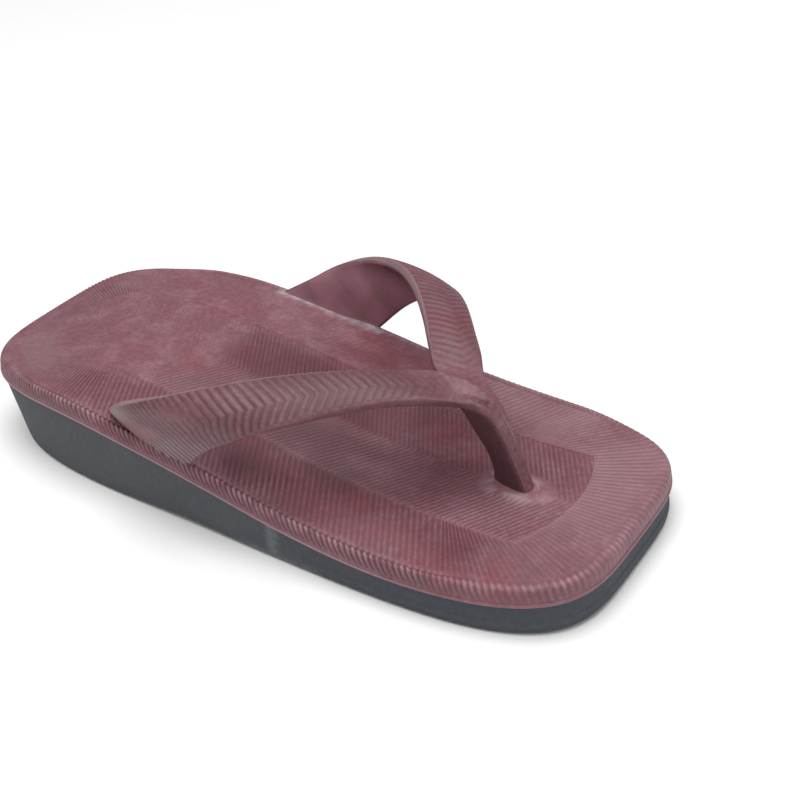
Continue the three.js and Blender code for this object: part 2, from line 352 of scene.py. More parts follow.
mottleGroup, grainGroup = makeMottle(), makeGrain()
print("made the shader groups")


def newMaterial(name):
    material = bpy.data.materials.new(name)
    material.use_nodes = True
    tree = material.node_tree
    shader = tree.nodes["Principled BSDF"]
    place = tree.nodes.new("ShaderNodeTexCoord").outputs["Object"]
    return material, tree, shader, place


def placeGroup(tree, group, place, settings):
    # a group on the piece's own places, with plain settings by input name
    node = tree.nodes.new("ShaderNodeGroup")
    node.node_tree = group
    tree.links.new(place, node.inputs["Place"])
    for label, value in settings.items():
        node.inputs[label].default_value = (*value, 1.0) if isinstance(value, tuple) else value
    return node


def readValue(tree, key):
    # one of the numbers that makeMesh keeps at each point
    node = tree.nodes.new("ShaderNodeAttribute")
    node.attribute_name = key
    return node.outputs["Fac"]


def addGrain(tree, shader, place, look):
    # the mould's grain as a bump
    grain = placeGroup(tree, grainGroup, place, {"Dents": look["dents"]})
    node = tree.nodes.new("ShaderNodeBump")
    node.inputs["Strength"].default_value = look["grain"]
    node.inputs["Distance"].default_value = look["grainDepth"]
    tree.links.new(grain.outputs["Height"], node.inputs["Height"])
    tree.links.new(node.outputs[0], shader.inputs["Normal"])


def makeVinyl(name, look):
    # the mesh carries five numbers at each point: painted shade in the ribs' valleys and creases, wear where
    # the vinyl is rubbed, with painted highlight, glue with painted light on a paler face, painted shade where
    # the vinyl lies in shade, and warmth where it is redder, below 0 where greyer
    material, tree, shader, place = newMaterial(name)
    mottle = placeGroup(tree, mottleGroup, place, {
        "Base": look["base"], "Warm": look["warm"], "Haze": look["haze"],
        "Cloud Size": look["cloudSize"], "Haze Share": look["hazeShare"], "Fleck": look["fleck"]})
    tree.links.new(readValue(tree, "warmth"), mottle.inputs["Warmth"])
    colour = mottle.outputs["Colour"]
    # painted shade, painted shade in the valleys, wear with painted highlight, and glue with painted light,
    # each blended over the mottle
    for key in ("paintedShade", "valleyShade", "wearAndSheen", "glueAndPaintedLight"):
        share = readValue(tree, key)
        if key + "Share" in look:
            share = addMath(tree, "MULTIPLY", share, look[key + "Share"])
        colour = addBlend(tree, share, colour, look[key])
    tree.links.new(colour, shader.inputs["Base Color"])
    rough = addMath(tree, "MULTIPLY_ADD", mottle.outputs["Haze"], look["hazeRough"], look["rough"])
    tree.links.new(rough, shader.inputs["Roughness"])
    shader.inputs["Specular IOR Level"].default_value = look["specular"]
    addGrain(tree, shader, place, look)
    return material


# Sole: one foam wedge with an undercut heel, a stepped side and a ribbed tread

soleFoam = {
    "columns": 1180, "inset": 0.8, "undercut": 6.0, "edgeRound": 1.8,
    # the step in the side: depth, height as a share of the wall, half its own height, and where it fades in
    "bandDepth": 0.45, "bandShare": 0.42, "bandHalf": 0.05, "bandFrom": (-0.02, 0.16),
    # rings of points on the wall above and below the step, as shares of its height
    "wallAbove": [1, 0.97, 0.9, 0.8, 0.7, 0.58], "wallBelow": [0.28, 0.16],
    # the arch's start, crest and end and the toe spring's start and end, as shares of the length
    "archRise": 1.2, "archSpan": (-0.2, -0.05, 0.1), "toeSpring": 1.1, "springSpan": (0.36, 0.5),
    "treadPitch": 5.4, "grooveWidth": 2.2, "grooveSlope": (0.25, 0.35), "grooveDepth": 1.3,
    "grooveEnd": (98, 112),                     # the grooves run out before both ends of the sole
    # how deep they are on the last rings, from the wall's foot to the middle line
    "treadReach": [0, 0.04, 0.12, 0.25, 0.4, 0.75, 1, 1, 1, 1],
    "look": {
        "dark": (0.068, 0.073, 0.084), "light": (0.088, 0.092, 0.104), "deep": (0.046, 0.053, 0.068),
        # pale grey for the painted reflections on the near side, and for fine dust
        "paleSheen": (0.24, 0.26, 0.27),
        "clouds": (38, 4, 0.6), "fine": (420, 3, 0.6), "wanderNoise": (160, 2), "wander": 0.004,
        # ranges in metres: start, end and, unless they are 0 and 1, the values there
        "nearSide": (-0.04, -0.03, 1.0, 0.0), "towardToe": (-0.01, 0.09, 0.0, 0.55),
        # where the painted reflections lie: an upright streak, and a band along the bottom edge
        "streakRear": (0.0255, 0.029), "streakFront": (0.0295, 0.034, 1.0, 0.0),
        "edgeSheenRear": (0.002, 0.02), "edgeSheenFront": (0.03, 0.056, 1.0, 0.0), "edgeSheenHeight": (0.0008, 0.0042, 1.0, 0.0),
        # ranges of noise
        "cloudRange": (0.35, 0.7), "paleRange": (0.2, 0.6, 0.2, 0.42), "dustRange": (0.4, 0.75, 0.0, 0.07),
        "roughRange": (0.3, 0.7, 0.74, 0.9),
        "specular": 0.35, "dents": 0.5, "grain": 0.35, "grainDepth": 0.0003,
    },
}


def underside(x):
    # a low arch under the waist and a slight spring at the toe
    s = soleFoam
    t = x / sandal["length"]
    start, crest, end = s["archSpan"]
    arch = smoothStep(start, crest, t) * (1 - smoothStep(crest, end, t))
    return s["archRise"] * arch + s["toeSpring"] * smoothStep(*s["springSpan"], t)


def treadCut(x):
    # 1 in a groove across the sole and 0 on a rib, with short slopes
    s = soleFoam
    off = np.abs(np.mod(x, s["treadPitch"]) - s["treadPitch"] / 2)
    half, (within, beyond) = s["grooveWidth"] / 2, s["grooveSlope"]
    return 1 - smoothStep(half - within, half + beyond, off)


def makeSole():
    # rings round the outline: the top from the middle line out, down the wall, and the tread back in;
    # every column stays at its own station, so the grooves run straight across
    s = soleFoam
    n, r = s["columns"], s["edgeRound"]
    arc = np.arange(n) / n * outlineLength
    mirror = (-np.arange(n)) % n
    lip = onOutline(arc, 0)
    t = lip[:, 0] / sandal["length"]
    low = underside(lip[:, 0])
    wall = lipHeight(lip[:, 0]) - low
    heelIn = s["inset"] + s["undercut"] * np.clip(-2 * t, 0, 1) ** 4
    band = s["bandDepth"] * smoothStep(*s["bandFrom"], t)
    rings = []

    def addSheet(edge, shares, height):
        # rings between the middle line, share 0, and an edge, share 1
        middle = (edge + edge[mirror]) / 2 * (1, 0)
        for share in shares:
            p = middle + (edge - middle) * share
            rings.append(np.column_stack([p, height(p[:, 0])]))

    addSheet(onOutline(arc, s["inset"]), (0.0, 0.5, 0.96), lipHeight)
    stepRows = s["bandShare"] + np.linspace(0.06, -0.06, 7)
    for share in np.concatenate([s["wallAbove"], stepRows, s["wallBelow"]]):
        step = band * smoothStep(s["bandShare"] - s["bandHalf"], s["bandShare"] + s["bandHalf"], share)
        p = onOutline(arc, s["inset"] + (heelIn - s["inset"]) * (1 - share) + step)
        rings.append(np.column_stack([p, low + wall * share]))
    for turn in np.linspace(0, np.pi / 2, 5):
        p = onOutline(arc, heelIn * 0.97 + r * (1 - np.cos(turn)))
        rings.append(np.column_stack([p, low + r * (1 - np.sin(turn))]))
    addSheet(onOutline(arc, heelIn + r + 0.5), (1, 0.8, 0.5, 0.2, 0.0), underside)
    p = np.array(rings)
    reach = np.zeros((len(p), 1))
    reach[-len(s["treadReach"]):, 0] = s["treadReach"]
    x = p[:, :, 0]
    p[:, :, 2] += s["grooveDepth"] * treadCut(x) * (1 - smoothStep(*s["grooveEnd"], np.abs(x))) * reach
    # the first and last rings are lines on the middle: mirrored columns share their points
    rows = len(p)
    ids = np.arange(rows * n).reshape(rows, n)
    for row in (0, rows - 1):
        ids[row] = np.minimum(ids[row], ids[row][mirror])
    quads = ids.ravel()[gridFaces(rows, n, closeColumns=True)]
    used, back = np.unique(quads, return_inverse=True)
    quads = back.reshape(-1, 4)[:, ::-1]
    return makeMesh("soleFoam", p.reshape(-1, 3)[used], quads)


def makeFoam(look):
    # dark foam with soft clouds, darker toward the toe, and a painted reflection on the near side
    material, tree, shader, place = newMaterial("foamRubber")
    clouds, fine = addNoise(tree, place, *look["clouds"]), addNoise(tree, place, *look["fine"])
    parts = tree.nodes.new("ShaderNodeSeparateXYZ")
    tree.links.new(place, parts.inputs[0])
    x, y, z = parts.outputs

    def between(value, rear, front):
        # 1 between two soft limits
        return addMath(tree, "MULTIPLY", addRamp(tree, value, *rear), addRamp(tree, value, *front))

    # painted reflection: one pale upright streak where the side wall catches the light, and a pale band along
    # the bottom edge on both sides of it, where the edge reflects the floor
    wander = addMath(tree, "MULTIPLY_ADD", addNoise(tree, place, *look["wanderNoise"]), look["wander"], x)
    streak = between(wander, look["streakRear"], look["streakFront"])
    edgeSheen = between(x, look["edgeSheenRear"], look["edgeSheenFront"])
    edgeSheen = addMath(tree, "MULTIPLY", edgeSheen, addRamp(tree, z, *look["edgeSheenHeight"]))
    pale = addMath(tree, "MULTIPLY", addMath(tree, "MAXIMUM", streak, edgeSheen), addRamp(tree, y, *look["nearSide"]))
    pale = addMath(tree, "MULTIPLY", pale, addRamp(tree, fine, *look["paleRange"]))
    colour = addBlend(tree, addRamp(tree, clouds, *look["cloudRange"]), look["dark"], look["light"])
    colour = addBlend(tree, addRamp(tree, x, *look["towardToe"]), colour, look["deep"])
    # the painted reflection, in pale grey
    colour = addBlend(tree, pale, colour, look["paleSheen"])
    colour = addBlend(tree, addRamp(tree, fine, *look["dustRange"]), colour, look["paleSheen"])
    tree.links.new(colour, shader.inputs["Base Color"])
    tree.links.new(addRamp(tree, clouds, *look["roughRange"]), shader.inputs["Roughness"])
    shader.inputs["Specular IOR Level"].default_value = look["specular"]
    addGrain(tree, shader, place, look)
    return material


sole = makeSole()
sole.data.materials.append(makeFoam(soleFoam["look"]))
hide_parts("sole")
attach(sole, "root")


# Deck: a middle field of two slanted bands of ribs, and a surround whose ribs fan round both ends
# and run over the rolled rim down to a thin lip

deckVinyl = {
    "toeFan": 60.0, "heelFan": -85.0,           # the fans' centres on the middle line
    # slants of the ribs in degrees from straight across: borders and middle bands, near and far
    "nearBorder": 33.0, "farBorder": 23.0, "nearBand": 28.0, "farBand": 34.0,
    "bandHalf": 26.0, "toeReach": 50.0, "tuck": 0.3,
    "ribsToe": 34, "ribsSide": 63, "ribsHeel": 58, "samplesPerRib": 6,
    "ribHeight": 0.2, "innerPitch": 1.95, "slab": 2.4,
    "fieldEnds": (-113, 127), "fieldEdge": [0.25, 0.6, 1.2],
    # the rim's width at the sides and the ends, where the ends begin, and how tight the toe's roll is
    "sideEdge": 3.6, "endEdge": 8.0, "endRange": (84, 112), "toeRoll": 0.45,
    "rimRib": 1.15, "rimLean": 0.8, "leanLimit": 1.2,
    # rim rows: way in at the sides, height there, way in at the ends, height there (mm)
    "rim": [(2.95, 6.45, 7.0, 6.62), (2.6, 6.15, 6.0, 6.74), (2.25, 6.5, 5.0, 6.8), (1.8, 6.9, 4.1, 6.76),
            (1.25, 7.0, 3.2, 6.58), (0.75, 6.8, 2.35, 6.22), (0.4, 6.25, 1.6, 5.62), (0.16, 5.4, 1.05, 4.85),
            (0.06, 4.4, 0.7, 4.0), (0.05, 3.4, 0.5, 3.15), (0.14, 2.5, 0.42, 2.35), (0.3, 1.85, 0.45, 1.75),
            (0.42, 1.4, 0.5, 1.35), (0.1, 1.12, 0.1, 1.12), (0.0, 0.85, 0.0, 0.85), (0.02, 0.35, 0.02, 0.35),
            (0.3, 0.05, 0.3, 0.05)],
    # the toe post's foot: centre, half length and half width of the smooth boss round it, and its rise
    "boss": (89, 0, 13.5, 7.5), "bossRise": 0.8,
    # worn spots: centre x, y, half length, half width, soft edge from and to, raggedness; the far side's ranges
    "seat": (-74, 3, 35, 36, 0.86, 1.1, 0.08), "ball": (52, -4, 34, 30, 0.5, 1.3, 0.2),
    "farAcross": (21, 28), "farFront": (14, 56), "farRear": (-130, -116),
    "seatWear": 0.93, "farWear": 0.9, "ballWear": 0.35,
    # glue: a ring round the post's foot, and a line along the far root
    "glueRing": (88, -1, 9.0, 5.6), "ringWidth": 0.3,
    "glueLine": 50.6, "lineWidth": 1.5, "lineFrom": (-55, -51), "lineTo": (-5, -1),
    # patches: centre x, y, half length, half width, amount
    "redder": [(-8, -30, 40, 16, 1.0), (52, 14, 22, 12, 0.9), (-62, 30, 34, 12, 0.4), (20, 36, 46, 12, 0.9),
               (46, -40, 44, 12, 0.7), (-10, 10, 34, 16, 1.0), (20, -10, 30, 14, 0.8), (-30, 4, 26, 20, 1.0),
               (84, -38, 26, 12, 1.0), (104, -40, 18, 10, 1.0)],
    "greyer": [(114, 6, 28, 34, 1.0), (60, -14, 34, 12, 0.8), (-100, 0, 26, 40, 0.6)],
    # painted shade: darker patches, mostly where the strap shades the middle of the deck
    "shadePatches": [(12, -16, 44, 18, 0.95), (0, -38, 26, 10, 0.75), (4, 8, 52, 22, 0.75), (-20, 6, 32, 20, 0.6),
               (6, 34, 34, 10, 0.45), (56, -12, 26, 12, 0.45), (36, -10, 24, 9, 1.0), (4, -42, 14, 9, 1.0),
               (90, -36, 26, 9, 0.4)],
    # paler patches: painted light over the toe, the side borders and the heel's end, with painted highlight on
    # the toe's rim
    "paleSheen": [(112, 8, 32, 50, 0.4), (70, 42, 44, 13, 0.35), (60, -44, 44, 10, 0.2), (-112, 10, 22, 46, 0.15)],
    # where the painted highlight on the rim's rib crests is strongest, and its strength on the rim's rows; then
    # the lip's wear by row
    "highlightStrokes": [(28, -54, 34, 12, 1.0), (-70, -54, 40, 12, 0.5)],
    "beadHighlight": [0.2, 0.6, 1, 1, 0.9, 0.6, 0.3], "lipWear": [0.25, 0.6, 1, 1, 0.9],
    # a pressed line along the near root, darkened there as painted contact shadow
    "creases": [(10, -50.2, 36, -50.4, 0.5, 0.22)],
    "look": {
        "base": (0.205, 0.082, 0.102), "warm": (0.225, 0.066, 0.085), "haze": (0.275, 0.143, 0.17),
        # the valley colour is painted shade in the ribs' valleys and creases
        "cloudSize": 30.0, "hazeShare": 0.55, "fleck": 0.3, "valleyShade": (0.095, 0.034, 0.045), "valleyShadeShare": 0.8,
        # the colour of the painted shade
        "paintedShade": (0.088, 0.03, 0.04),
        "wearAndSheen": (0.36, 0.22, 0.245), "wearAndSheenShare": 0.8, "glueAndPaintedLight": (0.42, 0.36, 0.38),
        "rough": 0.46, "hazeRough": 0.12, "specular": 0.38, "dents": 0.5, "grain": 0.35, "grainDepth": 0.00025,
    },
}


def ribWave(phase):
    # broad rounded ribs with narrower valleys, 0 to 1
    wave = 0.5 + 0.5 * np.cos(2 * np.pi * phase)
    return wave ** 0.75


def deckWear(p):
    # how far the ribs are rubbed away: the heel seat, its far side and the ball of the foot
    d = deckVinyl
    x, y = p[..., 0], p[..., 1]
    n = waveNoise(p, 55, 11)

    def spot(x0, y0, long, wide, low, high, ragged):
        return 1 - smoothStep(low, high, ovalAway(p, x0, y0, long, wide) + ragged * n)
    seat, ball = d["seatWear"] * spot(*d["seat"]), d["ballWear"] * spot(*d["ball"])
    far = d["farWear"] * smoothStep(*d["farAcross"], y) * smoothStep(*d["farRear"], x)
    far = far * (1 - smoothStep(*d["farFront"], x + 8 * n))
    return np.clip(np.maximum(np.maximum(seat, far), ball), 0, 1)


def deckSmear(p):
    # pale smears of glue round the foot of the toe post and along the far root of the strap
    d = deckVinyl
    x, y = p[..., 0], p[..., 1]
    n = waveNoise(p, 9, 5)
    ring = np.exp(-(((ovalAway(p, *d["glueRing"]) - 1.0) / d["ringWidth"]) ** 2))
    post = ring * np.clip(0.1 + 0.3 * n + 0.3 * waveNoise(p, 3.5, 6), 0, 0.42)
    off = (y - d["glueLine"] - 0.5 * waveNoise(p, 4, 7)) / d["lineWidth"]
    root = np.exp(-(off ** 2)) * smoothStep(*d["lineFrom"], x) * (1 - smoothStep(*d["lineTo"], x))
    return np.clip(np.maximum(post, root * (0.72 + 0.3 * waveNoise(p, 5, 8))), 0, 0.85)


def deckTint(p):
    # where the vinyl is redder, and painted shade, mostly where the strap shades the deck: patches placed as in
    # the photograph
    d = deckVinyl
    return {"warmth": patchShare(p, d["redder"], 21) - 0.5 * patchShare(p, d["greyer"], 22),
            "paintedShade": np.clip(patchShare(p, d["shadePatches"], 23), 0, 1)}


def deckStrength(p):
    # how high the ribs still stand, 1 where nothing is rubbed away, with a slight unevenness
    return (1 - 0.9 * deckWear(p)) * (1 + 0.15 * waveNoise(p, 30, 3))


def ribRays():
    # the surround's columns follow the ribs: rays from the toe fan's centre, parallel slanted lines along the
    # sides, and rays from the heel fan's centre; each has an angle, a start on the middle line and a rib phase
    d = deckVinyl
    per = d["samplesPerRib"]
    toe, side, heel = d["ribsToe"] * per, d["ribsSide"] * per, d["ribsHeel"] * per

    def turns(slant):
        return np.concatenate([np.linspace(math.pi / 2, slant, toe, endpoint=False), np.full(side, slant),
                               np.linspace(slant, -math.pi / 2, heel + 1)])
    farTurns, nearTurns = turns(math.radians(d["farBorder"])), turns(math.radians(d["nearBorder"]))
    centre = np.concatenate([np.full(toe, d["toeFan"]),
                             np.linspace(d["toeFan"], d["heelFan"], side, endpoint=False),
                             np.full(heel + 1, d["heelFan"])])
    phase = np.arange(len(farTurns)) / per
    # far side from toe to heel, then the near side back to the toe
    back = slice(-2, 0, -1)
    hand = np.concatenate([np.ones(len(farTurns)), -np.ones(len(farTurns) - 2)])
    angle = np.append(farTurns, nearTurns[back])
    way = np.stack([np.sin(angle), hand * np.cos(angle)], -1)
    return angle, np.append(centre, centre[back]), np.append(phase, phase[back]), way


def meetOutline(origin, way):
    # how far round the lip line each ray meets it: there its left-hand distance to the points changes sign
    off = outline[None] - origin[:, None]
    cross = way[:, None, 0] * off[..., 1] - way[:, None, 1] * off[..., 0]
    ahead = (way[:, None] * off).sum(-1)
    nextCross = np.roll(cross, -1, 1)
    k = ((cross <= 1e-9) & (nextCross > 1e-9) & (ahead > 0)).argmax(1)
    rays = np.arange(len(k))
    a, b = cross[rays, k], nextCross[rays, k]
    return (k + a / (a - b)) * outlineLength / len(outline)


def rimRibs(p, up, travelled, ends):
    # ribs on the rim: low in the groove, none at the lip, lower round both ends and on the far side
    foot = 0.25 + 0.75 * smoothStep(0.3, 1.5, travelled)
    calm = 1 - 0.65 * smoothStep(20, 45, p[:, 1]) * (1 - smoothStep(95, 120, p[:, 0]))
    return float(smoothStep(1.5, 2.6, np.mean(up))) * deckVinyl["rimRib"] * foot * (1 - 0.3 * ends) * calm


def makeSurround():
    # each column runs from the inner line out, over the rim, and back under the slab
    d = deckVinyl
    angle, centre, phase, way = ribRays()
    origin = np.stack([centre, np.zeros_like(centre)], -1)
    arc = meetOutline(origin, way)
    edgePoint = onOutline(arc, 0)
    normal = edgePoint - onOutline(arc, 1)
    tangent = np.stack([-normal[:, 1], normal[:, 0]], -1)
    square = (way * normal).sum(1)
    lean = np.clip((way * tangent).sum(1) / square, -d["leanLimit"], d["leanLimit"])
    toeEnd, heelEnd = (smoothStep(*d["endRange"], side * edgePoint[:, 0]) for side in (1, -1))
    ends = np.maximum(toeEnd, heelEnd)
    # the roll of the rim is tighter at the toe than at the heel
    inward = np.maximum(d["toeRoll"] * toeEnd, heelEnd)
    width = d["sideEdge"] + (d["endEdge"] - d["sideEdge"]) * inward
    # the inner line: the band's edge, the toe's arc and the heel's arc; the columns start a little inside it
    band = d["bandHalf"] / np.maximum(np.cos(angle), 0.01)
    band = np.where(centre > d["toeFan"] - 1, np.minimum(band, d["toeReach"]), band)
    start = np.where(angle > 0, band, d["bandHalf"])
    begin = start - d["tuck"]
    stop = ((edgePoint - origin) * way).sum(1) - width / np.maximum(square, 0.5)
    # round the heel the surround starts a little below the field, so that the seam hardly shows
    atHeel = 1 - smoothStep(0.0, 0.38, angle)
    rings, ribs = [], []
    flatRows = np.concatenate([[0, 0.03], np.linspace(0.06, 1, 15)])
    for share in flatRows:
        p = origin + way * (begin + (stop - begin) * share)[:, None]
        raised = 0.03 * (1 - smoothStep(0, 0.06, share)) * (1 - atHeel)
        sunk = 0.06 * (1 - smoothStep(0, 0.12, share)) * atHeel
        rings.append(np.column_stack([p, fieldHeight(p[:, 0]) + raised - sunk]))
        ribs.append(np.full(len(arc), smoothStep(-0.005, 0.06, share) * (0.3 if share == 1 else 1)))
    rimArc, travelled = arc - lean * width, np.zeros(len(arc))
    lastIn, lastUp = width, sandal["rimHeight"] * sandal["fieldShare"]
    for sideIn, sideUp, endIn, endUp in d["rim"]:
        inset = sideIn + (endIn - sideIn) * inward
        up = sideUp + (endUp - sideUp) * ends
        travelled = travelled + np.hypot(lastIn - inset, lastUp - up)
        lastIn, lastUp = inset, up
        p = onOutline(rimArc + lean * travelled * d["rimLean"], inset)
        rings.append(np.column_stack([p, lipHeight(p[:, 0]) + up]))
        ribs.append(rimRibs(p, up, travelled, ends))
    under = onOutline(rimArc + lean * travelled * d["rimLean"], 3.0)
    rings.append(np.column_stack([under, lipHeight(under[:, 0]) + 0.05]))
    for share, drop in ((0.9, d["slab"]), (0.0, d["slab"]), (0.0, 0.2)):
        p = origin + way * (begin + (stop - start) * share)[:, None]
        rings.append(np.column_stack([p, fieldHeight(p[:, 0]) - drop]))
    ribs += [np.zeros(len(arc))] * 4
    p, ribs = np.array(rings), np.array(ribs)
    wave = ribWave(phase)[None]
    strength = ribs * deckStrength(p) * (1 - 0.25 * smoothStep(60, 100, p[..., 0]))
    normals = gridNormals(p, 8, (0, 0, 1), closeRows=True, closeColumns=True)
    pressed = creaseDepth(p, d["creases"])
    p = p + normals * (d["ribHeight"] * strength * (wave - 1) * 2 - pressed)[..., None]

    def onRim(first, amounts):
        # one amount for each of the rim's rows from the first on, and 0 on all others
        rows = np.zeros((len(p), 1))
        rows[len(flatRows) + first:len(flatRows) + first + len(amounts), 0] = amounts
        return rows
    lipWear = onRim(12, d["lipWear"]) * (1 - 0.75 * smoothStep(40, 105, p[..., 0]))
    # painted highlight: pale strokes on the crests of the rim's ribs, strongest on the near side in front of
    # the strap
    highlightStrokes = onRim(2, d["beadHighlight"]) * wave ** 2 * (0.6 + 0.6 * patchShare(p, d["highlightStrokes"], 9))
    highlightStrokes = highlightStrokes * np.clip(0.8 + 0.7 * waveNoise(p, 9, 31), 0, 1.3)
    # paler patches of painted light over the toe and the borders
    paleSheen = patchShare(p, d["paleSheen"], 24)
    # painted shade in the ribs' valleys and in the pressed line
    values = {"valleyShade": np.clip(strength * (1 - wave) + 1.5 * pressed, 0, 1),
              # the lip's wear, with the painted highlight strokes and the paler patches of painted light
              "wearAndSheen": np.clip(np.maximum(np.maximum(lipWear, highlightStrokes), paleSheen), 0, 1),
              "glueAndPaintedLight": deckSmear(p), **deckTint(p)}
    quads = gridFaces(p.shape[0], p.shape[1], closeRows=True, closeColumns=True)
    return p, quads[:, ::-1], values, ()


def makeField():
    # columns are zigzag lines across the deck, straight ribs with their tip toward the toe on the middle line;
    # outside the band and the toe's arc the sheet dips under the surround
    d = deckVinyl
    half, wellInside = d["bandHalf"], -9
    edge = half + np.array(d["fieldEdge"])
    y = np.concatenate([-edge[::-1], np.linspace(-half, half, 27), edge])
    v = np.arange(*d["fieldEnds"], d["innerPitch"] / d["samplesPerRib"])
    yy, vv = np.meshgrid(y, v, indexing="ij")
    lean = np.where(yy < 0, math.tan(math.radians(d["nearBand"])), math.tan(math.radians(d["farBand"])))
    xx = vv - lean * np.minimum(np.abs(yy), half)
    toe = np.hypot(xx - d["toeFan"], yy) - d["toeReach"]
    heel = np.where(xx < d["heelFan"], np.hypot(xx - d["heelFan"], yy) - half, wellInside)
    outside = np.maximum(np.abs(yy) - half, np.where(xx > d["toeFan"], toe, wellInside))
    drop = 0.8 * smoothStep(0.05, 0.7, outside) + 0.7 * smoothStep(1, 6, outside)
    # at the heel the sheet sinks gently from the seam on, and deeply only well past it
    drop = np.maximum(drop, 0.05 * smoothStep(0, 3, heel) + 1.4 * smoothStep(4, 11, heel))
    outside = np.maximum(outside, heel + 1.5)
    top = np.stack([xx, yy, fieldHeight(xx) - drop], -1)
    wave = ribWave(vv / d["innerPitch"])
    strength = deckStrength(top) * (1 - smoothStep(-0.6, 0.2, outside) * 0.6)
    strength *= 1 - 0.4 * smoothStep(-16, -1, toe) * (xx > d["toeFan"])
    # the ribs end at a smooth boss round the post's foot
    boss = ovalAway(top, *d["boss"])
    strength *= smoothStep(0.95, 1.15, boss)
    top[..., 2] += d["ribHeight"] * 2 * strength * (wave - 1)
    top[..., 2] += d["bossRise"] * (1 - smoothStep(0.82, 1.12, boss))
    below = top[::-1][[0, 8, 16, 24, 32]]
    below[..., 2] = fieldHeight(below[..., 0]) - d["slab"]
    p = np.concatenate([top, below])
    zero = np.zeros((len(below), len(v)))
    # painted shade in the ribs' valleys
    values = {"valleyShade": np.concatenate([np.clip(strength * (1 - wave), 0, 1), zero]),
              "wearAndSheen": np.zeros(p.shape[:2]), "glueAndPaintedLight": np.concatenate([deckSmear(top), zero]), **deckTint(p)}
    rows, columns = p.shape[:2]
    quads = gridFaces(rows, columns, closeRows=True)
    caps = [(np.arange(rows) * columns)[::-1], np.arange(rows) * columns + columns - 1]
    return p, quads[:, ::-1], values, caps


def joinParts(name, parts):
    # several grids as one mesh, each with its quads, the numbers at its points and its end caps
    start, points, quads, caps, values = 0, [], [], [], {}
    for p, faces, numbers, ends in parts:
        points.append(p.reshape(-1, 3))
        quads.append(faces + start)
        caps += [np.asarray(c) + start for c in ends]
        for key, n in numbers.items():
            values.setdefault(key, []).append(np.asarray(n).ravel())
        start += p.shape[0] * p.shape[1]
    return makeMesh(name, np.concatenate(points), np.concatenate(quads), caps,
                    {key: np.concatenate(n) for key, n in values.items()})


deck = joinParts("deckVinyl", [makeSurround(), makeField()])
deck.data.materials.append(makeVinyl("deckBurgundy", deckVinyl["look"]))
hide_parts("deck")
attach(deck, "root")


# V strap: two mirrored halves, each an arm that turns down into half of the toe post

